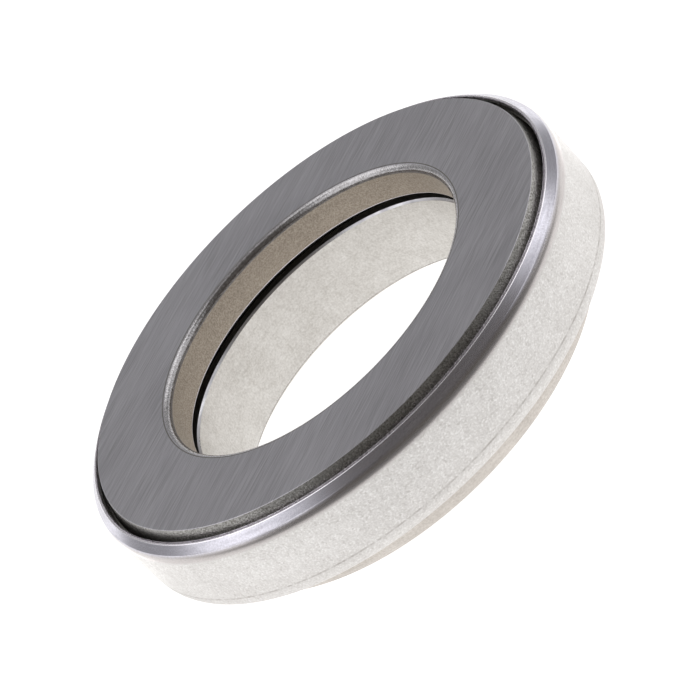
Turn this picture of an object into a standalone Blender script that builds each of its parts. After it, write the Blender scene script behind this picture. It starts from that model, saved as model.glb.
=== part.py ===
"""Banded thrust ball bearing, modelled as an assembly.

Two steel races run on a caged row of balls. A pressed steel band is rolled in
over the upper race's shoulder and in under the lower race's flange, so it
holds the bearing together while the upper race turns.

Metres, +Z up along the bearing's axis. The origin is the centre of the bottom
face, which belongs to the stationary lower race.
"""

import math

import bmesh
import bpy
from mathutils import Matrix, Vector

OBJECT_NAME = "thrust_ball_bearing"

# Overall sizes
HEIGHT = 0.01965
BORE_RADIUS = 0.0262
RACE_GAP = 0.00124              # gap between the races, open to the bore
BALL_PLANE_Z = 0.01324
RACE_RIM_RADIUS = 0.04155       # outer radius of both races inside the band
EDGE_BREAK = 0.0002             # small chamfer on turned edges

# Balls
BALL_COUNT = 18
BALL_RADIUS = 0.003969          # 5/16 inch ball
PITCH_RADIUS = 0.0339
BALL_CLEARANCE = 0.00012        # between a ball and the bottom of its groove
GROOVE_CONFORMITY = 0.54        # groove radius over ball diameter

# Cage: a flat ring in a recess between the races
CAGE_INNER_RADIUS = 0.0290
CAGE_OUTER_RADIUS = 0.0388
CAGE_THICKNESS = 0.0020
POCKET_RADIUS = BALL_RADIUS + 0.0002
POCKET_CUT_DEPTH = 3.0 * CAGE_THICKNESS     # the cutter runs past both sides of the ring
RECESS_INNER_RADIUS = 0.0283
RECESS_OUTER_RADIUS = 0.0394
RECESS_HALF_HEIGHT = 0.0018

# Outer band: a sloping top lip, a soft shoulder, a straight wall and a bottom lip
BAND_RADIUS = 0.04284
BAND_THICKNESS = 0.0009
LIP_INNER_RADIUS = 0.04095
LIP_SLOPE = math.radians(40.0)
LIP_CORNER_RADIUS = 0.0003
BAND_SHOULDER_RADIUS = 0.0046
BAND_SHOULDER_TURN = math.radians(22.0)
WALL_TOP_Z = 0.0158
BOTTOM_BEND_RADIUS = 0.0020
BAND_BOTTOM_Z = 0.0054
BOTTOM_LIP_RADIUS = 0.0381

# Upper race
FACE_OUTER_RADIUS = 0.0397
NECK_SLOPE = math.radians(17.2)     # the neck below the face, off vertical
SHOULDER_Z = 0.01696                # runs 0.3 mm or more under the band's lip
BORE_CORNER_RADIUS = 0.00136
BORE_CORNER_DEPTH = 0.00115

# Lower race
BOSS_RADIUS = 0.03752
BOSS_CORNER_RADIUS = 0.0030
STEP_FILLET = 0.0003
BORE_EDGE = 0.00032             # chamfers at both ends of the lower bore

# Mesh fineness
TURN_STEPS = 56
ARC_STEP = math.radians(18.5)   # the longest turn between two points of an arc
POCKET_SIDES = 24
BALL_SEGMENTS = 16
BALL_RINGS = 8
SHARP_ANGLE = math.radians(28.0)
MERGE_DISTANCE = 1e-6

# Material: colour, roughness, metallic
FINISHES = {
    "ground_steel": ((0.22, 0.22, 0.24), 0.35, 1.0),
    "plated_steel": ((0.72, 0.70, 0.67), 0.55, 0.6),
    "race_steel": ((0.66, 0.63, 0.58), 0.5, 0.7),
    "cage_steel": ((0.45, 0.44, 0.42), 0.45, 1.0),
    "ball_steel": ((0.75, 0.75, 0.77), 0.12, 1.0),
}


def clear_scene():
    for item in list(bpy.data.objects):
        bpy.data.objects.remove(item, do_unlink=True)


def add_collection(name):
    collection = bpy.data.collections.new(name)
    bpy.context.scene.collection.children.link(collection)
    return collection


def make_material(name):
    colour, roughness, metallic = FINISHES[name]
    material = bpy.data.materials.new(name)
    material.use_nodes = True
    shader = material.node_tree.nodes["Principled BSDF"]
    shader.inputs["Base Color"].default_value = (*colour, 1.0)
    shader.inputs["Roughness"].default_value = roughness
    shader.inputs["Metallic"].default_value = metallic
    return material


def arc(centre, radius, start, end):
    """Points (r, z) along an arc about centre, both ends included; angles in radians."""
    steps = math.ceil(abs(end - start) / ARC_STEP)
    points = []
    for step in range(steps + 1):
        angle = start + (end - start) * step / steps
        points.append((centre[0] + radius * math.cos(angle), centre[1] + radius * math.sin(angle)))
    return points


def turned(name, outline, material, collection):
    """Revolve a closed outline of (r, z) points, given clockwise, about +Z."""
    profile = bpy.data.meshes.new(name + "_profile")
    corners = [(r, 0.0, z) for r, z in outline]
    edges = [(i, (i + 1) % len(corners)) for i in range(len(corners))]
    profile.from_pydata(corners, edges, [])
    piece = bpy.data.objects.new(name, profile)
    collection.objects.link(piece)

    screw = piece.modifiers.new("turn", "SCREW")
    screw.axis = "Z"
    screw.angle = 2.0 * math.pi
    screw.screw_offset = 0.0
    screw.steps = TURN_STEPS
    screw.render_steps = TURN_STEPS
    screw.use_merge_vertices = True
    screw.merge_threshold = MERGE_DISTANCE

    evaluated = piece.evaluated_get(bpy.context.evaluated_depsgraph_get())
    solid = bpy.data.meshes.new_from_object(evaluated)
    solid.name = name
    piece.modifiers.clear()
    piece.data = solid
    bpy.data.meshes.remove(profile)
    solid.materials.append(material)
    solid.shade_smooth()
    solid.set_sharp_from_angle(angle=SHARP_ANGLE)
    return piece


def groove(side):
    """The ball groove, outer end first: side +1 is cut in the upper race, -1 in the lower."""
    radius = 2.0 * BALL_RADIUS * GROOVE_CONFORMITY
    depth = BALL_RADIUS + BALL_CLEARANCE
    centre = (PITCH_RADIUS, BALL_PLANE_Z + side * (depth - radius))
    rise = RECESS_HALF_HEIGHT - (depth - radius)
    lip = math.asin(rise / radius)
    return arc(centre, radius, side * lip, side * (math.pi - lip))


def inner_side(side):
    """A race's face towards the balls, outer end first: land, recess, groove, recess, land."""
    land_z = BALL_PLANE_Z + side * RACE_GAP / 2.0
    recess_z = BALL_PLANE_Z + side * RECESS_HALF_HEIGHT
    return [
        (RECESS_OUTER_RADIUS + EDGE_BREAK, land_z),
        (RECESS_OUTER_RADIUS, land_z + side * EDGE_BREAK),
        (RECESS_OUTER_RADIUS, recess_z),
        *groove(side),
        (RECESS_INNER_RADIUS, recess_z),
        (RECESS_INNER_RADIUS, land_z + side * EDGE_BREAK),
        (RECESS_INNER_RADIUS - EDGE_BREAK, land_z),
    ]


def band_top():
    """Outer line of the band's top: lip end, lip, tight corner, then the wide shoulder."""
    wide_centre = Vector((BAND_RADIUS - BAND_SHOULDER_RADIUS, WALL_TOP_Z))
    along = Vector((math.cos(BAND_SHOULDER_TURN), math.sin(BAND_SHOULDER_TURN)))
    tight_centre = wide_centre + along * (BAND_SHOULDER_RADIUS - LIP_CORNER_RADIUS)
    lip_normal = math.pi / 2.0 - LIP_SLOPE
    corner = arc(tight_centre, LIP_CORNER_RADIUS, lip_normal, BAND_SHOULDER_TURN)
    shoulder = arc(wide_centre, BAND_SHOULDER_RADIUS, BAND_SHOULDER_TURN, 0.0)
    corner_r, corner_z = corner[0]
    lip_end_z = corner_z + (corner_r - LIP_INNER_RADIUS) * math.tan(LIP_SLOPE)
    return [(LIP_INNER_RADIUS, lip_end_z), *corner, *shoulder[1:]]


def lip_underside(radius):
    """Height of the lip's underside, a cone parallel to its outer face."""
    end_r, end_z = band_top()[0]
    drop = BAND_THICKNESS / math.cos(LIP_SLOPE)
    return end_z - drop - (radius - end_r) * math.tan(LIP_SLOPE)


def outer_band_outline():
    wall_inside = BAND_RADIUS - BAND_THICKNESS
    bend_centre = (BAND_RADIUS - BOTTOM_BEND_RADIUS, BAND_BOTTOM_Z + BOTTOM_BEND_RADIUS)
    inner_bend = BOTTOM_BEND_RADIUS - BAND_THICKNESS
    return [
        *band_top(),
        *arc(bend_centre, BOTTOM_BEND_RADIUS, 0.0, -math.pi / 2.0),
        (BOTTOM_LIP_RADIUS, BAND_BOTTOM_Z),
        (BOTTOM_LIP_RADIUS, BAND_BOTTOM_Z + BAND_THICKNESS),
        *arc(bend_centre, inner_bend, -math.pi / 2.0, 0.0),
        (wall_inside, lip_underside(wall_inside)),
        (LIP_INNER_RADIUS, lip_underside(LIP_INNER_RADIUS)),
    ]


def upper_race_outline():
    """Down the neck and rim, in over the groove, up the bore and out over the face."""
    neck_foot = FACE_OUTER_RADIUS + (HEIGHT - SHOULDER_Z) * math.tan(NECK_SLOPE)
    land_z = BALL_PLANE_Z + RACE_GAP / 2.0
    corner_sweep = math.asin(BORE_CORNER_DEPTH / BORE_CORNER_RADIUS)
    corner_centre = (BORE_RADIUS + BORE_CORNER_RADIUS, HEIGHT - BORE_CORNER_DEPTH)
    return [
        (FACE_OUTER_RADIUS, HEIGHT),
        (neck_foot, SHOULDER_Z),
        (RACE_RIM_RADIUS - EDGE_BREAK, SHOULDER_Z),
        (RACE_RIM_RADIUS, SHOULDER_Z - EDGE_BREAK),
        (RACE_RIM_RADIUS, land_z + EDGE_BREAK),
        (RACE_RIM_RADIUS - EDGE_BREAK, land_z),
        *inner_side(1),
        (BORE_RADIUS + EDGE_BREAK, land_z),
        (BORE_RADIUS, land_z + EDGE_BREAK),
        *arc(corner_centre, BORE_CORNER_RADIUS, math.pi, math.pi - corner_sweep),
    ]


def lower_race_outline():
    """Down the flange and the boss, in over the bottom, up the bore and out over the groove."""
    land_z = BALL_PLANE_Z - RACE_GAP / 2.0
    bend_centre_r = BAND_RADIUS - BOTTOM_BEND_RADIUS
    bend_centre_z = BAND_BOTTOM_Z + BOTTOM_BEND_RADIUS
    flange_corner = RACE_RIM_RADIUS - bend_centre_r
    flange_z = bend_centre_z - flange_corner
    boss_centre = (BOSS_RADIUS - BOSS_CORNER_RADIUS, BOSS_CORNER_RADIUS)
    return [
        (RACE_RIM_RADIUS, land_z - EDGE_BREAK),
        *arc((bend_centre_r, bend_centre_z), flange_corner, 0.0, -math.pi / 2.0),
        (BOSS_RADIUS + STEP_FILLET, flange_z),
        (BOSS_RADIUS, flange_z - STEP_FILLET),
        *arc(boss_centre, BOSS_CORNER_RADIUS, 0.0, -math.pi / 2.0),
        (BORE_RADIUS + BORE_EDGE, 0.0),
        (BORE_RADIUS, BORE_EDGE),
        (BORE_RADIUS, land_z - BORE_EDGE),
        (BORE_RADIUS + BORE_EDGE, land_z),
        *reversed(inner_side(-1)),
        (RACE_RIM_RADIUS - EDGE_BREAK, land_z),
    ]


def cage_outline():
    top = BALL_PLANE_Z + CAGE_THICKNESS / 2.0
    bottom = BALL_PLANE_Z - CAGE_THICKNESS / 2.0
    return [
        (CAGE_OUTER_RADIUS, top),
        (CAGE_OUTER_RADIUS, bottom),
        (CAGE_INNER_RADIUS, bottom),
        (CAGE_INNER_RADIUS, top),
    ]


def ball_angles():
    return [2.0 * math.pi * index / BALL_COUNT for index in range(BALL_COUNT)]


def ball_centre(angle):
    return Vector((PITCH_RADIUS * math.cos(angle), PITCH_RADIUS * math.sin(angle), BALL_PLANE_Z))


def make_pocket_cutter(collection):
    """One upright cylinder for each cage pocket, in one cutter."""
    shape = bmesh.new()
    for angle in ball_angles():
        bmesh.ops.create_cone(
            shape,
            cap_ends=True,
            segments=POCKET_SIDES,
            radius1=POCKET_RADIUS,
            radius2=POCKET_RADIUS,
            depth=POCKET_CUT_DEPTH,
            matrix=Matrix.Translation(ball_centre(angle)),
        )
    mesh = bpy.data.meshes.new("pocket_cutter")
    shape.to_mesh(mesh)
    shape.free()
    cutter = bpy.data.objects.new("pocket_cutter", mesh)
    cutter.hide_render = True
    cutter.display_type = "WIRE"
    collection.objects.link(cutter)
    return cutter


def make_cage(material, collection, cutters):
    cage = turned("ball_cage", cage_outline(), material, collection)
    cut = cage.modifiers.new("pockets", "BOOLEAN")
    cut.operation = "DIFFERENCE"
    cut.solver = "EXACT"
    cut.object = make_pocket_cutter(cutters)
    return cage


def make_balls(material, collection):
    """Balls that share one mesh, each with its own X axis pointing outwards."""
    shape = bmesh.new()
    bmesh.ops.create_uvsphere(
        shape,
        u_segments=BALL_SEGMENTS,
        v_segments=BALL_RINGS,
        radius=BALL_RADIUS,
    )
    mesh = bpy.data.meshes.new("ball")
    shape.to_mesh(mesh)
    shape.free()
    mesh.materials.append(material)
    mesh.shade_smooth()
    balls = []
    for index, angle in enumerate(ball_angles()):
        ball = bpy.data.objects.new(f"ball_{index + 1:02d}", mesh)
        ball.location = ball_centre(angle)
        ball.rotation_euler = (0.0, 0.0, angle)
        collection.objects.link(ball)
        balls.append(ball)
    return balls


def main():
    clear_scene()
    bearing = add_collection(OBJECT_NAME)
    cutters = add_collection("cutters")
    finish = {name: make_material(name) for name in FINISHES}

    axis = bpy.data.objects.new("bearing_axis", None)
    bearing.objects.link(axis)
    pieces = [
        turned("upper_race", upper_race_outline(), finish["ground_steel"], bearing),
        turned("lower_race", lower_race_outline(), finish["race_steel"], bearing),
        turned("outer_band", outer_band_outline(), finish["plated_steel"], bearing),
        make_cage(finish["cage_steel"], bearing, cutters),
        *make_balls(finish["ball_steel"], bearing),
    ]
    for piece in pieces:
        piece.parent = axis


main()
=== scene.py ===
"""Looks of the banded thrust ball bearing: fine meshes, materials, camera, light and floor.

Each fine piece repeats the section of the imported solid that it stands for, with finer arcs,
small edge roundings and a finish for each turned surface. Metres, +Z up the bearing's axis.
"""

import math

import bmesh
import bpy
from mathutils import Matrix, Vector


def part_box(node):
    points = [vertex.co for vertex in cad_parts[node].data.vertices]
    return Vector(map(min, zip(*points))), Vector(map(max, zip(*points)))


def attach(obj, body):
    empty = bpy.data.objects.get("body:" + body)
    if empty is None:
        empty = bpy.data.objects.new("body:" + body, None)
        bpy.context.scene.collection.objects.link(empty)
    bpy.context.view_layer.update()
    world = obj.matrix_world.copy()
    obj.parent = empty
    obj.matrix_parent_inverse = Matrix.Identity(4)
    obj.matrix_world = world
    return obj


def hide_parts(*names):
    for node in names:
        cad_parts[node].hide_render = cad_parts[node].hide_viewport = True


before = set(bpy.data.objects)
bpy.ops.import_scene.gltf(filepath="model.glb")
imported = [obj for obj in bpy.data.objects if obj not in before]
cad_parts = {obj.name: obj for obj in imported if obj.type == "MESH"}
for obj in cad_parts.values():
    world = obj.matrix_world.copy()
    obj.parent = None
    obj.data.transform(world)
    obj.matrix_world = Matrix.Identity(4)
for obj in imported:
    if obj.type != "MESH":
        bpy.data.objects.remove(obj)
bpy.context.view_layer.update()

# Sizes read from the frame
UPPER_LOW, UPPER_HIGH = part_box("upper_race")
LOWER_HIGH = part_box("lower_race")[1]
BAND_LOW, BAND_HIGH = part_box("outer_band")
CAGE_LOW, CAGE_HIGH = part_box("ball_cage")
BALL_LOW, BALL_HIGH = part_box("ball_01")

FACE_Z = UPPER_HIGH.z
RACE_RIM_RADIUS = UPPER_HIGH.x
BAND_RADIUS = BAND_HIGH.x
BAND_BOTTOM_Z = BAND_LOW.z
BALL_RADIUS = (BALL_HIGH.z - BALL_LOW.z) / 2.0
BALL_PLANE_Z = (BALL_HIGH.z + BALL_LOW.z) / 2.0
PITCH_RADIUS = (BALL_HIGH.x + BALL_LOW.x) / 2.0
BALLS = sorted(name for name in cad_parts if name.startswith("ball_") and name != "ball_cage")

# Sections inside those boxes, as the design has them
BORE_RADIUS = 0.0262
FACE_OUTER_RADIUS = 0.0397
NECK_SLOPE = math.radians(17.2)
SHOULDER_Z = 0.01696
BORE_CORNER_RADIUS = 0.00136
BORE_CORNER_DEPTH = 0.00115
EDGE_BREAK = 0.0002
GROOVE_CONFORMITY = 0.54
GROOVE_CLEARANCE = 0.00012
GROOVE_RADIUS = 2.0 * BALL_RADIUS * GROOVE_CONFORMITY
GROOVE_DEPTH = BALL_RADIUS + GROOVE_CLEARANCE
RECESS_INNER_RADIUS = 0.0283
RECESS_OUTER_RADIUS = 0.0394
RECESS_HALF_HEIGHT = 0.0018
BAND_THICKNESS = 0.0009
LIP_INNER_RADIUS = 0.04095
LIP_SLOPE = math.radians(40.0)
LIP_CORNER_RADIUS = 0.0003
BAND_SHOULDER_RADIUS = 0.0046
BAND_SHOULDER_TURN = math.radians(22.0)
WALL_TOP_Z = 0.0158
BOTTOM_BEND_RADIUS = 0.0020
BOTTOM_LIP_RADIUS = 0.0381
BOSS_RADIUS = 0.03752
BOSS_CORNER_RADIUS = 0.0030
STEP_FILLET = 0.0003
BORE_EDGE = 0.00032
CAGE_INNER_RADIUS = 0.0290
POCKET_CLEARANCE = 0.0002
POCKET_RADIUS = BALL_RADIUS + POCKET_CLEARANCE

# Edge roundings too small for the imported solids
BORE_CORNER_BLEND = 0.00100
FACE_EDGE_ROUND = 0.00009
NECK_FOOT_ROUND = 0.00030
LIP_EDGE_ROUND = 0.00028
BAND_EDGE_ROUND = 0.00022
SMALL_ROUND = 0.00006
CAGE_ROUND = 0.00015

# Thin lines: a painted highlight at the upper bore's lower edge, and painted shade as a dark line at the
# lower bore's bottom.
# The band's sheared edge stops this share of the lip's edge rounding short of its corner.
BORE_EDGE_HIGHLIGHT_LINE = 0.00006
BORE_FOOT_SHADE_LINE = 0.00012
SHEARED_SHARE = 0.6

# Of the bore corner's steps, the grinding reaches the last four, and the last two of those carry
# the thin dark line at the face's inner edge.
GROUND_STEPS = 4
DARK_STEPS = 2

# Fineness
TURN_STEPS = 320
ARC_STEP = math.radians(5.0)
ROUNDING_STEP = math.radians(15.0)
POCKET_SIDES = 72
BALL_CUTS = 11
BEVEL_SEGMENTS = 2
SHARP_ANGLE = math.radians(33.0)

# The lines that surface grinding leaves on the top face, and the fainter ones that cross them
GRINDING_ANGLE = math.radians(33.0)
CROSSING_ANGLE = math.radians(44.0)

# Heights between which painted shade darkens the bore corner, down towards the bore
CORNER_SHADE_Z = (FACE_Z - BORE_CORNER_DEPTH, FACE_Z - 0.4 * BORE_CORNER_DEPTH)

# Where the band's burnished zone starts, how far that line wanders up and down, and the heights
# between which its colour turns from warm to lavender
BURNISH_Z = WALL_TOP_Z + 0.0004
BURNISH_BLEND = 0.0003
RAGGED = 0.00010
LAVENDER_Z = (BURNISH_Z + 0.0008, BURNISH_Z + 0.0015)

# The press tool's edge leaves a faint line on the band's wall, just above the bottom bend. The wall
# is a little darker there, up to the given height above the line.
PRESS_MARK_Z = BAND_BOTTOM_Z + BOTTOM_BEND_RADIUS + 0.0005
PRESS_MARK_FADE = (0.00004, 0.00020)
DARKER_HEIGHT = 0.0040

# Camera
CAMERA_PLACE = Vector((0.0, -0.3499, 0.1946))
CAMERA_TILT = math.radians(27.85)
CAMERA_ROLL = math.radians(44.86)
CAMERA_LENS = 141.0
CAMERA_NEAREST = 0.01
CAMERA_FARTHEST = 20.0

# The floor: a grey disc that glows. It lies just below the bearing, so that the two never coincide.
FLOOR_RADIUS = 3.0
FLOOR_SIDES = 96
FLOOR_GREY = 0.3
FLOOR_GAP = 0.00005

# Radiance of each part of the studio
ROOM_LIGHT = 0.14
WALL_LIGHT = 0.36
LEFT_LIGHT = 1.25
RIGHT_LIGHT = 1.05
PANEL_LIGHT = 1.50
SKYLINE_LIGHT = 1.52
TABLE_LIGHT = 0.98
SPOT_LIGHT = 0.60

# Where the table's glow fades, in metres: out at an oval round the bearing, in again behind it, and
# in again to each side, along slanted lines
TABLE_OVAL = (0.85, 1.0, 1.0)
TABLE_NEAR = (0.091, 0.110)
TABLE_BEHIND = (0.030, 0.080)
TABLE_ASIDE = (0.10, 0.18)
ASIDE_SLANT = 1.5
ASIDE_SHARE = 0.8

# The brighter spots left and right of the bearing: their place, their fade, and their front edge
SPOT_PLACE = (0.054, 0.016, 0.0)
SPOT_FADE = (0.010, 0.026)
SPOT_FRONT = (-0.003, 0.017)

# The ceiling panels' fades, in a plane 1 above the bearing: X is across and Y along
PANEL_FRONT = (-0.25, 0.20)
PANEL_BACK = (0.75, 1.55)
PANEL_SIDE = (1.25, 1.75)
PANEL_SLANT = 0.10
PANELS_APART = (0.14, 0.42)
PANELS_MIDDLE = 0.08
BRIDGE_BACK = (0.05, 0.35)
BRIDGE_SHARE = 0.7
LOWEST_HEIGHT = 0.05

# Fades up a direction's height, its Z from 0 at the horizon to 1 overhead
WALL_TOP = (0.60, 0.85)
SKYLINE_TOP = (0.06, 0.22)
WINDOW_FOOT = (0.0, 0.16)

# The dark front and the two windows: direction, full angle and fade's end in degrees
DARK_FRONT = ((0.09, -0.996, 0.0), 72.0, 90.0)
LEFT_WINDOW = ((-0.90, -0.18, 0.37), 10.0, 42.0)
RIGHT_WINDOW = ((0.92, -0.10, 0.30), 8.0, 38.0)


# ---------------------------------------------------------------- outlines

def arc(centre, radius, start, end):
    """Points (r, z) along an arc about centre, both ends included; angles in radians."""
    steps = max(1, math.ceil(abs(end - start) / ARC_STEP))
    points = []
    for step in range(steps + 1):
        angle = start + (end - start) * step / steps
        points.append((centre[0] + radius * math.cos(angle), centre[1] + radius * math.sin(angle)))
    return points


def edge_round(before, corner, after, radius):
    """The arc that rounds off a corner between two straight edges."""
    before, corner, after = Vector(before), Vector(corner), Vector(after)
    to_before = (before - corner).normalized()
    to_after = (after - corner).normalized()
    half = math.acos(max(-1.0, min(1.0, to_before.dot(to_after)))) / 2.0
    centre = corner + (to_before + to_after).normalized() * (radius / math.sin(half))
    first = corner + to_before * (radius / math.tan(half)) - centre
    last = corner + to_after * (radius / math.tan(half)) - centre
    start = math.atan2(first.y, first.x)
    turn = math.atan2(first.x * last.y - first.y * last.x, first.dot(last))
    steps = max(3, math.ceil(abs(turn) / ROUNDING_STEP))
    return [
        (
            centre.x + radius * math.cos(start + turn * step / steps),
            centre.y + radius * math.sin(start + turn * step / steps),
        )
        for step in range(steps + 1)
    ]


def outline(stretches):
    """Joins stretches (finish, points, rounding of the last point) into one closed ring.

    Returns the ring's points and the finish of the edge that leaves each point.
    """
    corners = []
    for finish, points, rounding in stretches:
        for index, point in enumerate(points):
            last = index == len(points) - 1
            corners.append((point, rounding if last else 0.0, finish))
    ring = []
    count = len(corners)
    for index, (point, rounding, finish) in enumerate(corners):
        after, _, next_finish = corners[(index + 1) % count]
        if rounding:
            before = corners[index - 1][0]
            points = edge_round(before, point, after, rounding)
        else:
            points = [point]
        for rounded in points[:-1]:
            ring.append((rounded, finish))
        ring.append((points[-1], next_finish))
    return [point for point, _ in ring], [finish for _, finish in ring]


def inner_side(side):
    """A race's side towards the balls, outer end first: +1 is the upper race, -1 the lower."""
    land_z = UPPER_LOW.z if side > 0 else LOWER_HIGH.z
    recess_z = BALL_PLANE_Z + side * RECESS_HALF_HEIGHT
    groove_rise = GROOVE_DEPTH - GROOVE_RADIUS
    groove_centre = (PITCH_RADIUS, BALL_PLANE_Z + side * groove_rise)
    lip = math.asin((RECESS_HALF_HEIGHT - groove_rise) / GROOVE_RADIUS)
    outer_recess = [
        (RECESS_OUTER_RADIUS + EDGE_BREAK, land_z),
        (RECESS_OUTER_RADIUS, land_z + side * EDGE_BREAK),
        (RECESS_OUTER_RADIUS, recess_z),
    ]
    inner_recess = [
        (RECESS_INNER_RADIUS, recess_z),
        (RECESS_INNER_RADIUS, land_z + side * EDGE_BREAK),
        (RECESS_INNER_RADIUS - EDGE_BREAK, land_z),
    ]
    groove = arc(groove_centre, GROOVE_RADIUS, side * lip, side * (math.pi - lip))
    return outer_recess, groove, inner_recess


def bore_corner():
    """Up the bore and over on to the face: the corner's arc, then a tighter one along the face."""
    centre = Vector((BORE_RADIUS + BORE_CORNER_RADIUS, FACE_Z - BORE_CORNER_DEPTH))
    rise = BORE_CORNER_DEPTH - BORE_CORNER_BLEND
    reach = math.sqrt((BORE_CORNER_RADIUS - BORE_CORNER_BLEND) ** 2 - rise ** 2)
    blend_centre = centre + Vector((-reach, rise))
    turn = math.pi - math.atan2(rise, reach)
    first = arc(centre, BORE_CORNER_RADIUS, math.pi, turn)
    return first + arc(blend_centre, BORE_CORNER_BLEND, turn, math.pi / 2.0)[1:]


def upper_race_outline():
    """The rotating race, from the face's outer edge round by the shoulder, groove and bore."""
    neck_foot = FACE_OUTER_RADIUS + (FACE_Z - SHOULDER_Z) * math.tan(NECK_SLOPE)
    land_z = UPPER_LOW.z
    outer_recess, groove, inner_recess = inner_side(1)
    corner = bore_corner()
    return outline([
        ("ground", [(FACE_OUTER_RADIUS, FACE_Z)], FACE_EDGE_ROUND),
        ("scale", [(neck_foot, SHOULDER_Z)], NECK_FOOT_ROUND),
        ("scale", [(RACE_RIM_RADIUS - EDGE_BREAK, SHOULDER_Z)], 0.0),
        ("scale", [(RACE_RIM_RADIUS, SHOULDER_Z - EDGE_BREAK)], 0.0),
        ("turned", [(RACE_RIM_RADIUS, land_z + EDGE_BREAK)], 0.0),
        ("turned", [(RACE_RIM_RADIUS - EDGE_BREAK, land_z)], 0.0),
        ("turned", outer_recess, 0.0),
        ("track", groove, 0.0),
        ("turned", inner_recess, 0.0),
        ("turned", [(BORE_RADIUS + EDGE_BREAK, land_z)], 0.0),
        ("bright", [(BORE_RADIUS, land_z + EDGE_BREAK)], SMALL_ROUND),
        # Painted highlight: a thin bright line at the upper bore's lower edge.
        ("cut_edge", [(BORE_RADIUS, land_z + EDGE_BREAK + BORE_EDGE_HIGHLIGHT_LINE)], 0.0),
        ("tan_bore", corner[:1], 0.0),
        ("corner", corner[1:-GROUND_STEPS], 0.0),
        ("ground", corner[-GROUND_STEPS:-DARK_STEPS], 0.0),
        ("turned", corner[-DARK_STEPS:], 0.0),
    ])


def lower_race_outline():
    """The stationary race, from its rim down round the flange and boss, and up the bore."""
    land_z = LOWER_HIGH.z
    bend_centre = (BAND_RADIUS - BOTTOM_BEND_RADIUS, BAND_BOTTOM_Z + BOTTOM_BEND_RADIUS)
    flange_round = RACE_RIM_RADIUS - bend_centre[0]
    flange_z = bend_centre[1] - flange_round
    boss_centre = (BOSS_RADIUS - BOSS_CORNER_RADIUS, BOSS_CORNER_RADIUS)
    outer_recess, groove, inner_recess = inner_side(-1)
    return outline([
        ("turned", [(RACE_RIM_RADIUS, land_z - EDGE_BREAK)], 0.0),
        ("turned", arc(bend_centre, flange_round, 0.0, -math.pi / 2.0), 0.0),
        ("turned", [(BOSS_RADIUS + STEP_FILLET, flange_z)], 0.0),
        ("boss", [(BOSS_RADIUS, flange_z - STEP_FILLET)], 0.0),
        ("boss", arc(boss_centre, BOSS_CORNER_RADIUS, 0.0, -math.pi / 2.0), 0.0),
        ("boss", [(BORE_RADIUS + BORE_EDGE, 0.0)], SMALL_ROUND),
        ("boss", [(BORE_RADIUS, BORE_EDGE)], SMALL_ROUND),
        # Painted shade: a thin dark line at the bottom of the lower bore.
        ("scale", [(BORE_RADIUS, BORE_EDGE + BORE_FOOT_SHADE_LINE)], 0.0),
        ("light_bore", [(BORE_RADIUS, land_z - BORE_EDGE)], SMALL_ROUND),
        ("bright", [(BORE_RADIUS + BORE_EDGE, land_z)], SMALL_ROUND),
        ("turned", inner_recess[::-1], 0.0),
        ("track", groove[::-1], 0.0),
        ("turned", outer_recess[::-1], 0.0),
        ("turned", [(RACE_RIM_RADIUS - EDGE_BREAK, land_z)], 0.0),
    ])


def band_outline():
    """The band, from its sheared lip edge down the outside, and back up the inside."""
    wide_centre = Vector((BAND_RADIUS - BAND_SHOULDER_RADIUS, WALL_TOP_Z))
    along = Vector((math.cos(BAND_SHOULDER_TURN), math.sin(BAND_SHOULDER_TURN)))
    tight_centre = wide_centre + along * (BAND_SHOULDER_RADIUS - LIP_CORNER_RADIUS)
    lip_normal = math.pi / 2.0 - LIP_SLOPE
    corner = arc(tight_centre, LIP_CORNER_RADIUS, lip_normal, BAND_SHOULDER_TURN)
    shoulder = arc(wide_centre, BAND_SHOULDER_RADIUS, BAND_SHOULDER_TURN, 0.0)
    corner_r, corner_z = corner[0]
    lip_end_z = corner_z + (corner_r - LIP_INNER_RADIUS) * math.tan(LIP_SLOPE)
    underside_z = lip_end_z - BAND_THICKNESS / math.cos(LIP_SLOPE)
    wall_inside = BAND_RADIUS - BAND_THICKNESS
    wall_inside_z = underside_z - (wall_inside - LIP_INNER_RADIUS) * math.tan(LIP_SLOPE)
    bend_centre = (BAND_RADIUS - BOTTOM_BEND_RADIUS, BAND_BOTTOM_Z + BOTTOM_BEND_RADIUS)
    inner_bend = BOTTOM_BEND_RADIUS - BAND_THICKNESS
    return outline([
        ("sheared", [(LIP_INNER_RADIUS, lip_end_z - SHEARED_SHARE * LIP_EDGE_ROUND)], 0.0),
        # Painted highlight: the lip edge's rounding in a near-white finish.
        ("cut_edge", [(LIP_INNER_RADIUS, lip_end_z)], LIP_EDGE_ROUND),
        ("band", corner, 0.0),
        ("band", shoulder[1:], 0.0),
        ("band", arc(bend_centre, BOTTOM_BEND_RADIUS, 0.0, -math.pi / 2.0), 0.0),
        ("band", [(BOTTOM_LIP_RADIUS, BAND_BOTTOM_Z)], BAND_EDGE_ROUND),
        ("turned", [(BOTTOM_LIP_RADIUS, BAND_BOTTOM_Z + BAND_THICKNESS)], BAND_EDGE_ROUND),
        ("turned", arc(bend_centre, inner_bend, -math.pi / 2.0, 0.0), 0.0),
        ("turned", [(wall_inside, wall_inside_z)], 0.0),
        ("turned", [(LIP_INNER_RADIUS, underside_z)], BAND_EDGE_ROUND),
    ])


# ---------------------------------------------------------------- materials

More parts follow.
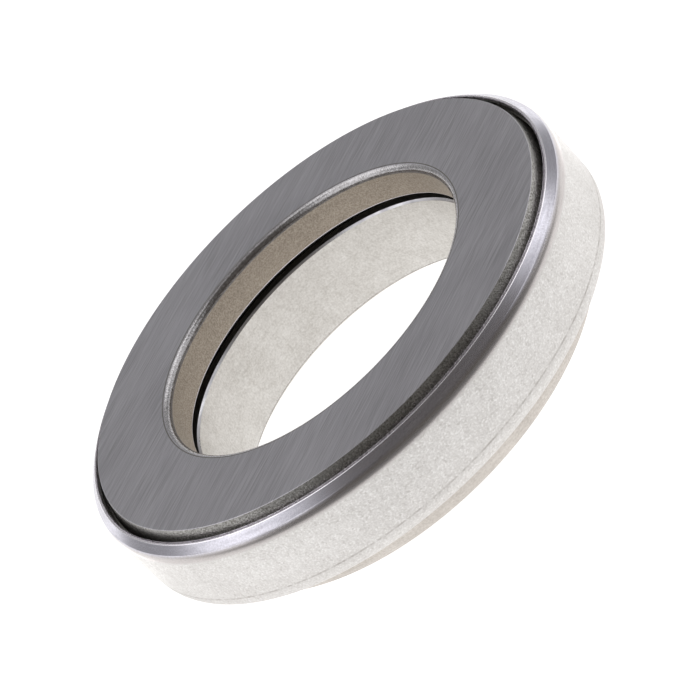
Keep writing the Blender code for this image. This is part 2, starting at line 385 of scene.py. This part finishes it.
class Graph:
    """Short calls that build a node tree."""

    def __init__(self, tree):
        self.tree = tree

    def feed(self, socket, value):
        """Links a socket's output to an input, or sets the input to a plain value."""
        if isinstance(value, bpy.types.NodeSocket):
            self.tree.links.new(value, socket)
        else:
            socket.default_value = value

    def add(self, kind, inputs, **settings):
        """A shader node with its inputs fed and its settings made."""
        node = self.tree.nodes.new("ShaderNode" + kind)
        for name, value in settings.items():
            setattr(node, name, value)
        for name, value in inputs.items():
            self.feed(node.inputs[name], value)
        return node

    def grain(self, size, turn=0.0, detail=2.0, contrast=1.0):
        """Noise from 0 to 1 in grains of the given size in metres, turned about +Z.

        The size is one number, or (x, y, z) for long or flat grains.
        """
        if not isinstance(size, tuple):
            size = (size, size, size)
        place = self.add("TexCoord", {}).outputs["Object"]
        scaled = self.add(
            "Mapping",
            {"Vector": place, "Rotation": (0.0, 0.0, turn), "Scale": size},
            vector_type="TEXTURE",
        )
        noise = self.add("TexNoise", {"Vector": scaled.outputs[0], "Scale": 1.0, "Detail": detail})
        spread = 0.25 / contrast
        return self.ramp(noise.outputs["Fac"], 0.5 - spread, 0.5 + spread)

    def ramp(self, value, low, high, to_low=0.0, to_high=1.0, smooth=False):
        """Takes value from the range low to high on to to_low to to_high, and stops at its ends."""
        node = self.add(
            "MapRange",
            {"Value": value, "From Min": low, "From Max": high, "To Min": to_low, "To Max": to_high},
            interpolation_type="SMOOTHSTEP" if smooth else "LINEAR",
            clamp=True,
        )
        return node.outputs["Result"]

    def between(self, tone, at_zero, at_one):
        """The number that a tone from 0 to 1 picks between two."""
        return self.ramp(tone, 0.0, 1.0, at_zero, at_one)

    def rise(self, value, span, top=1.0):
        """Eases from 0 up to top while value crosses the span (low, high)."""
        return self.ramp(value, *span, 0.0, top, smooth=True)

    def fall(self, value, span, top=1.0):
        """Eases from top down to 0 while value crosses the span (low, high)."""
        return self.ramp(value, *span, top, 0.0, smooth=True)

    def math(self, operation, first, second=0.0, third=0.0):
        """One of Blender's own math operations on up to three numbers."""
        node = self.add("Math", {0: first, 1: second, 2: third}, operation=operation)
        return node.outputs[0]

    def average(self, first, second, share=0.5):
        """The two numbers mixed; share is the second's part."""
        node = self.add("Mix", {0: share, 2: first, 3: second}, data_type="FLOAT")
        return node.outputs[0]

    def colour(self, factor, first, second):
        """The two colours mixed; factor is the second's part."""
        node = self.add("Mix", {0: factor}, data_type="RGBA")
        self.feed(node.inputs[6], first if isinstance(first, bpy.types.NodeSocket) else (*first, 1.0))
        self.feed(node.inputs[7], second if isinstance(second, bpy.types.NodeSocket) else (*second, 1.0))
        return node.outputs[2]

    def height(self):
        """Height above the bearing's bottom face, in metres."""
        place = self.add("TexCoord", {}).outputs["Object"]
        return self.add("SeparateXYZ", {0: place}).outputs["Z"]


def new_finish(name, metallic=1.0):
    """A material and its graph, with the Principled shader ready to feed."""
    material = bpy.data.materials.new(name)
    material.use_nodes = True
    shader = material.node_tree.nodes["Principled BSDF"]
    shader.inputs["Metallic"].default_value = metallic
    return material, Graph(material.node_tree), shader


def set_bump(graph, shader, height, depth):
    """Relief of the given depth in metres."""
    bump = graph.add("Bump", {"Height": height, "Distance": depth, "Strength": 1.0})
    graph.feed(shader.inputs["Normal"], bump.outputs[0])


def ground_finish():
    """Surface-ground steel: fine lines over broad faint ones, and a second set that crosses them."""
    material, graph, shader = new_finish("ground_face")
    fine = graph.grain((0.0100, 0.00014, 0.0100), turn=GRINDING_ANGLE, detail=3.0, contrast=2.3)
    cross = graph.grain((0.0055, 0.00017, 0.0055), turn=CROSSING_ANGLE, contrast=2.3)
    coarse = graph.grain((0.016, 0.00055, 0.016), turn=GRINDING_ANGLE, contrast=1.3)
    scratch = graph.grain((0.0090, 0.00016, 0.0090), turn=GRINDING_ANGLE, detail=1.0, contrast=2.0)
    cloud = graph.grain((0.014, 0.009, 0.014), turn=GRINDING_ANGLE, contrast=1.2)
    lines = graph.average(graph.average(fine, cross, 0.35), coarse, 0.22)
    bright = graph.ramp(scratch, 0.80, 1.0, 0.0, 0.5)
    dark = graph.ramp(scratch, 0.0, 0.20, 0.5, 0.0)
    tone = graph.average(lines, cloud, 0.35)
    base = graph.colour(tone, (0.375, 0.365, 0.395), (0.62, 0.607, 0.648))
    base = graph.colour(bright, base, (0.62, 0.61, 0.64))
    graph.feed(shader.inputs["Base Color"], graph.colour(dark, base, (0.33, 0.32, 0.335)))
    graph.feed(shader.inputs["Roughness"], graph.between(tone, 0.41, 0.34))
    set_bump(graph, shader, lines, 0.0000018)
    return material


def scale_finish():
    """The dark rough skin left by heat treatment on the neck and the shoulder, also used for painted shade
    as a thin dark line at the lower bore's bottom.
    """
    material, graph, shader = new_finish("dark_scale")
    speck = graph.grain(0.00026, detail=3.0, contrast=1.9)
    patch = graph.grain(0.0030)
    tone = graph.average(speck, patch, 0.2)
    graph.feed(shader.inputs["Base Color"], graph.colour(tone, (0.20, 0.191, 0.178), (0.55, 0.54, 0.526)))
    graph.feed(shader.inputs["Roughness"], graph.between(speck, 0.36, 0.26))
    set_bump(graph, shader, speck, 0.000010)
    return material


def corner_finish():
    """The rounded bore corner: turned and tumbled, so it sparkles, with painted shade down towards the
    bore.
    """
    material, graph, shader = new_finish("bore_corner")
    speck = graph.grain(0.00030, detail=3.0, contrast=1.8)
    patch = graph.grain((0.0025, 0.0025, 0.0012))
    tone = graph.average(speck, patch, 0.4)
    base = graph.colour(tone, (0.30, 0.286, 0.286), (0.59, 0.576, 0.594))
    # Painted shade: the corner's colour darkens down towards the bore.
    painted_corner_shade = graph.ramp(graph.height(), *CORNER_SHADE_Z, 0.75, 0.0)
    graph.feed(shader.inputs["Base Color"], graph.colour(painted_corner_shade, base, (0.10, 0.092, 0.088)))
    graph.feed(shader.inputs["Roughness"], graph.between(patch, 0.25, 0.17))
    set_bump(graph, shader, speck, 0.000013)
    return material


def tan_bore_finish():
    """The upper bore: matte, with a tan temper colour."""
    material, graph, shader = new_finish("tan_bore")
    speck = graph.grain((0.00024, 0.00024, 0.00020), detail=3.0, contrast=1.9)
    rings = graph.grain((0.0040, 0.0040, 0.00022))
    patch = graph.grain((0.0060, 0.0060, 0.0030))
    tone = graph.average(graph.average(speck, rings, 0.25), patch, 0.12)
    graph.feed(shader.inputs["Base Color"], graph.colour(tone, (0.315, 0.272, 0.225), (0.495, 0.435, 0.37)))
    graph.feed(shader.inputs["Roughness"], graph.between(speck, 0.62, 0.46))
    set_bump(graph, shader, speck, 0.000006)
    return material


def light_bore_finish():
    """The lower bore: light plating with a fine mottle over turned lines."""
    material, graph, shader = new_finish("light_bore")
    rings = graph.grain((0.0060, 0.0060, 0.00020), detail=3.0, contrast=1.2)
    speck = graph.grain(0.00032, detail=3.0, contrast=1.4)
    mottle = graph.grain(0.0011, detail=3.0, contrast=1.2)
    patch = graph.grain((0.0050, 0.0050, 0.0040))
    fine = graph.average(graph.average(rings, speck, 0.75), mottle, 0.25)
    tone = graph.average(fine, patch, 0.2)
    graph.feed(shader.inputs["Base Color"], graph.colour(tone, (0.55, 0.525, 0.49), (0.82, 0.80, 0.775)))
    graph.feed(shader.inputs["Roughness"], graph.between(tone, 0.52, 0.38))
    set_bump(graph, shader, fine, 0.000008)
    return material


def bright_finish():
    """Small bare chamfers, bright where handling has polished them."""
    material, graph, shader = new_finish("bright_edge")
    worn = graph.grain((0.0030, 0.0030, 0.0010), detail=3.0, contrast=1.3)
    graph.feed(shader.inputs["Base Color"], graph.colour(worn, (0.50, 0.49, 0.52), (0.84, 0.83, 0.86)))
    graph.feed(shader.inputs["Roughness"], graph.between(worn, 0.38, 0.22))
    set_bump(graph, shader, worn, 0.000010)
    return material


def turned_finish():
    """Dark turned steel with a film of oil: the surfaces inside, and the line round the face's bore."""
    material, graph, shader = new_finish("turned_steel")
    rings = graph.grain((0.0080, 0.0080, 0.00015), detail=3.0, contrast=1.2)
    patch = graph.grain(0.0040)
    tone = graph.average(rings, patch)
    graph.feed(shader.inputs["Base Color"], graph.colour(tone, (0.17, 0.16, 0.145), (0.29, 0.275, 0.255)))
    graph.feed(shader.inputs["Roughness"], graph.between(patch, 0.46, 0.30))
    set_bump(graph, shader, rings, 0.000005)
    return material


def track_finish():
    """The ball grooves: honed, with a faint running band."""
    material, graph, shader = new_finish("honed_track")
    hone = graph.grain((0.0080, 0.0080, 0.00008), contrast=1.2)
    patch = graph.grain(0.0050)
    graph.feed(shader.inputs["Base Color"], graph.colour(patch, (0.55, 0.54, 0.55), (0.68, 0.67, 0.67)))
    graph.feed(shader.inputs["Roughness"], graph.between(hone, 0.22, 0.12))
    set_bump(graph, shader, hone, 0.000001)
    return material


def boss_finish():
    """The stationary boss and bottom face: fine turned, slightly yellow under its plating."""
    material, graph, shader = new_finish("turned_boss")
    rings = graph.grain((0.0050, 0.0050, 0.00020), detail=3.0, contrast=1.2)
    patch = graph.grain(0.0040, detail=3.0)
    speck = graph.grain((0.00032, 0.00032, 0.00030), detail=3.0, contrast=1.6)
    fine = graph.average(rings, speck, 0.6)
    tone = graph.average(fine, patch, 0.3)
    graph.feed(shader.inputs["Base Color"], graph.colour(tone, (0.50, 0.462, 0.425), (0.74, 0.70, 0.66)))
    graph.feed(shader.inputs["Roughness"], graph.between(tone, 0.52, 0.38))
    set_bump(graph, shader, fine, 0.000009)
    return material


def band_finish():
    """The band: matte mottled plating on the wall, burnished where the lip was rolled in."""
    material, graph, shader = new_finish("plated_band")
    speck = graph.grain((0.00030, 0.00030, 0.00026), detail=3.0, contrast=1.7)
    mottle = graph.grain((0.0010, 0.0010, 0.0013), detail=3.0, contrast=1.3)
    cloud = graph.grain((0.0070, 0.0070, 0.0050), contrast=1.2)
    spot = graph.grain((0.00055, 0.00055, 0.00045), detail=1.0, contrast=1.6)
    fine = graph.average(speck, mottle, 0.30)
    tone = graph.average(fine, cloud, 0.20)
    matte = graph.colour(tone, (0.675, 0.655, 0.638), (0.865, 0.85, 0.84))
    bright = graph.ramp(speck, 0.86, 1.0, 0.0, 0.5)
    matte = graph.colour(bright, matte, (0.96, 0.95, 0.95))
    pits = graph.ramp(spot, 0.0, 0.10, 0.25, 0.0)
    matte = graph.colour(pits, matte, (0.46, 0.43, 0.41))
    low = graph.ramp(graph.height(), PRESS_MARK_Z, PRESS_MARK_Z + DARKER_HEIGHT, 0.14, 0.0)
    matte = graph.colour(low, matte, (0.52, 0.49, 0.465))
    off_mark = graph.math("ABSOLUTE", graph.math("SUBTRACT", graph.height(), PRESS_MARK_Z))
    mark = graph.math("MULTIPLY", graph.ramp(off_mark, *PRESS_MARK_FADE, 0.9, 0.0), mottle)
    matte = graph.colour(mark, matte, (0.42, 0.39, 0.37))

    rolled = graph.grain((0.0040, 0.0040, 0.00030))
    rolled = graph.average(rolled, speck, 0.35)
    lip = graph.colour(rolled, (0.50, 0.487, 0.545), (0.69, 0.675, 0.745))
    warm = graph.colour(rolled, (0.515, 0.482, 0.476), (0.61, 0.574, 0.568))
    level = graph.math("ADD", graph.height(), graph.between(fine, -RAGGED, RAGGED))
    burnish = graph.rise(level, (BURNISH_Z - BURNISH_BLEND, BURNISH_Z + BURNISH_BLEND))
    lavender = graph.rise(level, LAVENDER_Z)
    polished = graph.colour(lavender, warm, lip)
    graph.feed(shader.inputs["Base Color"], graph.colour(burnish, matte, polished))
    matte_roughness = graph.between(tone, 0.56, 0.44)
    polished_roughness = graph.between(rolled, 0.26, 0.18)
    graph.feed(shader.inputs["Roughness"], graph.average(matte_roughness, polished_roughness, burnish))
    set_bump(graph, shader, graph.average(fine, 0.5, burnish), 0.000012)
    return material


def sheared_finish():
    """The band's sheared inner edge: bare, pale and matte."""
    material, graph, shader = new_finish("sheared_edge")
    tears = graph.grain((0.00030, 0.00030, 0.0012), detail=3.0, contrast=1.4)
    graph.feed(shader.inputs["Base Color"], graph.colour(tears, (0.84, 0.825, 0.83), (0.97, 0.955, 0.96)))
    graph.feed(shader.inputs["Roughness"], graph.between(tears, 0.46, 0.36))
    set_bump(graph, shader, tears, 0.000008)
    return material


def painted_highlight_edge_finish():
    """Painted highlights on sharp edges, in a near-white metal: the corner of the band's lip, and the upper
    bore's lower edge.
    """
    material, graph, shader = new_finish("cut_edge")
    worn = graph.grain((0.0022, 0.0022, 0.0008), detail=3.0, contrast=1.2)
    graph.feed(shader.inputs["Base Color"], graph.colour(worn, (0.84, 0.81, 0.86), (0.95, 0.92, 0.97)))
    graph.feed(shader.inputs["Roughness"], graph.between(worn, 0.30, 0.20))
    set_bump(graph, shader, worn, 0.000006)
    return material


def cage_finish():
    """Pressed cage strip: phosphated, lightly oiled."""
    material, graph, shader = new_finish("cage_strip", 0.9)
    speck = graph.grain(0.00030, detail=3.0, contrast=1.2)
    patch = graph.grain(0.0050)
    tone = graph.average(speck, patch)
    graph.feed(shader.inputs["Base Color"], graph.colour(tone, (0.20, 0.195, 0.18), (0.36, 0.35, 0.33)))
    graph.feed(shader.inputs["Roughness"], graph.between(tone, 0.55, 0.38))
    set_bump(graph, shader, speck, 0.000006)
    return material


def ball_finish():
    """Lapped ball steel under a thin, uneven oil film."""
    material, graph, shader = new_finish("lapped_ball")
    film = graph.grain(0.0020, detail=3.0)
    lapping = graph.grain(0.00012)
    graph.feed(shader.inputs["Base Color"], graph.colour(film, (0.62, 0.61, 0.60), (0.74, 0.73, 0.73)))
    graph.feed(shader.inputs["Roughness"], graph.between(film, 0.14, 0.06))
    set_bump(graph, shader, lapping, 0.0000005)
    return material


FINISHES = {
    "ground": ground_finish(),
    "scale": scale_finish(),
    "corner": corner_finish(),
    "tan_bore": tan_bore_finish(),
    "light_bore": light_bore_finish(),
    "bright": bright_finish(),
    "turned": turned_finish(),
    "track": track_finish(),
    "boss": boss_finish(),
    "band": band_finish(),
    "sheared": sheared_finish(),
    "cut_edge": painted_highlight_edge_finish(),
    "cage": cage_finish(),
    "ball": ball_finish(),
}


# ---------------------------------------------------------------- pieces

def smooth(mesh):
    """Shades the mesh smooth, with its sharp edges kept."""
    mesh.shade_smooth()
    mesh.set_sharp_from_angle(angle=SHARP_ANGLE)


def weigh_normals(piece):
    """Keeps flat turned faces flat beside their small roundings."""
    weigh = piece.modifiers.new("flat_faces", "WEIGHTED_NORMAL")
    weigh.mode = "FACE_AREA"
    weigh.weight = 100
    weigh.keep_sharp = True


def turned_piece(name, ring):
    """Revolves a closed outline about +Z, each edge's faces in that edge's finish."""
    points, finishes = ring
    count = len(points)
    corners = []
    for step in range(TURN_STEPS):
        angle = 2.0 * math.pi * step / TURN_STEPS
        corners += [(r * math.cos(angle), r * math.sin(angle), z) for r, z in points]
    faces = []
    for step in range(TURN_STEPS):
        here = step * count
        there = (step + 1) % TURN_STEPS * count
        for index in range(count):
            after = (index + 1) % count
            faces.append((here + index, here + after, there + after, there + index))
    mesh = bpy.data.meshes.new(name)
    mesh.from_pydata(corners, [], faces)
    used = sorted(set(finishes))
    for finish in used:
        mesh.materials.append(FINISHES[finish])
    indices = [used.index(finish) for finish in finishes]
    mesh.polygons.foreach_set("material_index", indices * TURN_STEPS)
    smooth(mesh)
    piece = bpy.data.objects.new(name, mesh)
    bpy.context.scene.collection.objects.link(piece)
    weigh_normals(piece)
    return piece


def cage_ring():
    """The flat cage ring, with a round pocket for each ball and rounded edges."""
    ring = outline([
        ("cage", [(CAGE_HIGH.x, CAGE_HIGH.z)], 0.0),
        ("cage", [(CAGE_HIGH.x, CAGE_LOW.z)], 0.0),
        ("cage", [(CAGE_INNER_RADIUS, CAGE_LOW.z)], 0.0),
        ("cage", [(CAGE_INNER_RADIUS, CAGE_HIGH.z)], 0.0),
    ])
    cage = turned_piece("cage_ring", ring)
    cage.modifiers.clear()

    shape = bmesh.new()
    depth = 3.0 * (CAGE_HIGH.z - CAGE_LOW.z)
    for index in range(len(BALLS)):
        turn = Matrix.Rotation(2.0 * math.pi * index / len(BALLS), 4, "Z")
        bmesh.ops.create_cone(
            shape,
            cap_ends=True,
            segments=POCKET_SIDES,
            radius1=POCKET_RADIUS,
            radius2=POCKET_RADIUS,
            depth=depth,
            matrix=turn @ Matrix.Translation((PITCH_RADIUS, 0.0, BALL_PLANE_Z)),
        )
    mesh = bpy.data.meshes.new("pocket_cutter")
    shape.to_mesh(mesh)
    shape.free()
    cutter = bpy.data.objects.new("pocket_cutter", mesh)
    bpy.context.scene.collection.objects.link(cutter)

    cut = cage.modifiers.new("pockets", "BOOLEAN")
    cut.operation = "DIFFERENCE"
    cut.solver = "EXACT"
    cut.object = cutter
    edges = cage.modifiers.new("rounded_edges", "BEVEL")
    edges.width = CAGE_ROUND
    edges.segments = BEVEL_SEGMENTS
    edges.limit_method = "ANGLE"
    edges.angle_limit = SHARP_ANGLE
    finished = bpy.data.meshes.new_from_object(cage.evaluated_get(bpy.context.evaluated_depsgraph_get()))
    cage.modifiers.clear()
    cage.data = finished
    bpy.data.objects.remove(cutter)
    smooth(finished)
    weigh_normals(cage)
    return cage


def ball_mesh():
    """A ball of even quads: a subdivided cube pushed out to the ball's radius."""
    shape = bmesh.new()
    bmesh.ops.create_cube(shape, size=2.0)
    bmesh.ops.subdivide_edges(shape, edges=shape.edges[:], cuts=BALL_CUTS, use_grid_fill=True)
    for vertex in shape.verts:
        vertex.co = Vector(math.tan(value * math.pi / 4.0) for value in vertex.co)
        vertex.co = vertex.co.normalized() * BALL_RADIUS
    mesh = bpy.data.meshes.new("lapped_ball")
    shape.to_mesh(mesh)
    shape.free()
    mesh.materials.append(FINISHES["ball"])
    mesh.shade_smooth()
    return mesh


def add_pieces():
    """Makes each fine piece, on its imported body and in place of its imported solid."""
    races = [
        ("rotating_race", upper_race_outline(), "upper_race", "upper_race", "ground_steel"),
        ("stationary_race", lower_race_outline(), "lower_assembly", "lower_race", "race_steel"),
        ("rolled_band", band_outline(), "lower_assembly", "outer_band", "plated_steel"),
    ]
    for name, ring, body, node, slot in races:
        piece = turned_piece(name, ring)
        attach(piece, body)
        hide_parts(node)

    cage = cage_ring()
    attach(cage, "ball_cage")
    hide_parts("ball_cage")

    shape = ball_mesh()
    for node in BALLS:
        low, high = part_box(node)
        ball = bpy.data.objects.new(node.replace("ball", "lapped_ball"), shape)
        ball.location = (low + high) / 2.0
        ball.rotation_euler.z = math.atan2(ball.location.y, ball.location.x)
        bpy.context.scene.collection.objects.link(ball)
        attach(ball, node)
        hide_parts(node)


# ---------------------------------------------------------------- studio

def add_camera():
    """A long lens, looking down at the bearing and rolled, so that its axis leans to the left."""
    camera = bpy.data.cameras.new("camera")
    camera.lens = CAMERA_LENS
    camera.clip_start = CAMERA_NEAREST
    camera.clip_end = CAMERA_FARTHEST
    holder = bpy.data.objects.new("camera", camera)
    tilt = Matrix.Rotation(math.pi / 2.0 - CAMERA_TILT, 4, "X")
    roll = Matrix.Rotation(-CAMERA_ROLL, 4, "Z")
    holder.matrix_world = Matrix.Translation(CAMERA_PLACE) @ tilt @ roll
    bpy.context.scene.collection.objects.link(holder)
    bpy.context.scene.camera = holder


def add_floor():
    """A plain white table. What it throws on to the bearing fades out round the front.

    The camera itself sees the whole table white.
    """
    shape = bmesh.new()
    bmesh.ops.create_circle(shape, cap_ends=True, segments=FLOOR_SIDES, radius=FLOOR_RADIUS)
    mesh = bpy.data.meshes.new("floor")
    shape.to_mesh(mesh)
    shape.free()
    floor = bpy.data.objects.new("floor", mesh)
    floor.location.z = -FLOOR_GAP
    bpy.context.scene.collection.objects.link(floor)
    material, graph, shader = new_finish("light_table", 0.0)
    shader.inputs["Base Color"].default_value = (FLOOR_GREY, FLOOR_GREY, FLOOR_GREY, 1.0)
    shader.inputs["Roughness"].default_value = 0.9
    shader.inputs["Specular IOR Level"].default_value = 0.0
    shader.inputs["Emission Color"].default_value = (1.0, 0.995, 0.985, 1.0)

    place = graph.add("TexCoord", {}).outputs["Object"]
    depth = graph.add("SeparateXYZ", {0: place}).outputs["Y"]
    oval = graph.add("VectorMath", {0: place, 1: TABLE_OVAL}, operation="MULTIPLY")
    reach = graph.add("VectorMath", {0: oval.outputs["Vector"]}, operation="LENGTH").outputs["Value"]
    near = graph.fall(reach, TABLE_NEAR)
    behind = graph.rise(depth, TABLE_BEHIND)
    mirrored = graph.add("VectorMath", {0: place}, operation="ABSOLUTE").outputs["Vector"]
    width = graph.add("SeparateXYZ", {0: mirrored}).outputs["X"]
    slanted = graph.math("MULTIPLY_ADD", depth, ASIDE_SLANT, width)
    aside = graph.rise(slanted, TABLE_ASIDE, ASIDE_SHARE)
    lit = graph.math("MAXIMUM", near, graph.math("MAXIMUM", behind, aside))
    light = graph.math("MULTIPLY", lit, TABLE_LIGHT)
    away = graph.add("VectorMath", {0: mirrored, 1: SPOT_PLACE}, operation="DISTANCE")
    spots = graph.fall(away.outputs["Value"], SPOT_FADE, SPOT_LIGHT)
    spots = graph.math("MULTIPLY", spots, graph.rise(depth, SPOT_FRONT))
    light = graph.math("ADD", light, spots)
    seen = graph.add("LightPath", {}).outputs["Is Camera Ray"]
    graph.feed(shader.inputs["Emission Strength"], graph.average(light, 1.0, seen))
    mesh.materials.append(material)


def soft_window(graph, direction, towards, full, edge):
    """1 within full degrees of a direction, fading to 0 at edge degrees."""
    aim = tuple(Vector(towards).normalized())
    facing = graph.add("VectorMath", {0: direction, 1: aim}, operation="DOT_PRODUCT").outputs["Value"]
    return graph.rise(facing, (math.cos(math.radians(edge)), math.cos(math.radians(full))))


def ceiling_panels(graph, direction):
    """Two wide panels overhead with a bridge between their front ends.

    They are placed by where a direction meets a plane above.
    """
    part = graph.add("SeparateXYZ", {0: direction}).outputs
    height = graph.math("MAXIMUM", part["Z"], LOWEST_HEIGHT)
    across = graph.math("DIVIDE", part["X"], height)
    along = graph.math("DIVIDE", part["Y"], height)
    slanted = graph.math("SUBTRACT", along, graph.math("MULTIPLY", across, PANEL_SLANT))
    front_edge = graph.rise(slanted, PANEL_FRONT)
    back_edge = graph.fall(along, PANEL_BACK)
    side_edge = graph.fall(graph.math("ABSOLUTE", across), PANEL_SIDE)
    from_middle = graph.math("ABSOLUTE", graph.math("SUBTRACT", across, PANELS_MIDDLE))
    bridge = graph.fall(along, BRIDGE_BACK, BRIDGE_SHARE)
    apart = graph.math("MAXIMUM", graph.rise(from_middle, PANELS_APART), bridge)
    panel = graph.math("MULTIPLY", graph.math("MULTIPLY", front_edge, back_edge), side_edge)
    return graph.math("MULTIPLY", panel, apart)


def set_world():
    """A dim, warm studio: ceiling panels, a window each side, a pale wall and a skyline behind.

    The camera itself sees plain white behind the table.
    """
    world = bpy.data.worlds.new("studio")
    bpy.context.scene.world = world
    world.use_nodes = True
    graph = Graph(world.node_tree)
    direction = graph.add("TexCoord", {}).outputs["Generated"]
    height = graph.add("SeparateXYZ", {0: direction}).outputs["Z"]

    back = graph.math("SUBTRACT", 1.0, soft_window(graph, direction, *DARK_FRONT))
    wall = graph.math("MULTIPLY", graph.fall(height, WALL_TOP), back)
    skyline = graph.math("MULTIPLY", graph.fall(height, SKYLINE_TOP), back)
    raised = graph.rise(height, WINDOW_FOOT)
    left = graph.math("MULTIPLY", soft_window(graph, direction, *LEFT_WINDOW), raised)
    right = graph.math("MULTIPLY", soft_window(graph, direction, *RIGHT_WINDOW), raised)
    parts = [
        (wall, WALL_LIGHT),
        (ceiling_panels(graph, direction), PANEL_LIGHT),
        (left, LEFT_LIGHT),
        (right, RIGHT_LIGHT),
        (skyline, SKYLINE_LIGHT),
    ]
    light = ROOM_LIGHT
    for part, radiance in parts:
        light = graph.math("MAXIMUM", light, graph.math("MULTIPLY", part, radiance))
    lit = graph.ramp(light, ROOM_LIGHT, WALL_LIGHT)
    colour = graph.colour(lit, (1.0, 0.93, 0.85), (1.0, 1.0, 1.0))
    seen = graph.add("LightPath", {}).outputs["Is Camera Ray"]
    background = world.node_tree.nodes["Background"]
    graph.feed(background.inputs["Strength"], graph.average(light, 1.0, seen))
    graph.feed(background.inputs["Color"], graph.colour(seen, colour, (1.0, 1.0, 1.0)))


add_camera()
set_world()
add_floor()
add_pieces()

bpy.context.scene.view_settings.view_transform = "Standard"

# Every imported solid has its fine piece, and is hidden. It gets a steel finish all the same.
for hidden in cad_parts.values():
    hidden.data.materials.clear()
    hidden.data.materials.append(FINISHES["turned"])
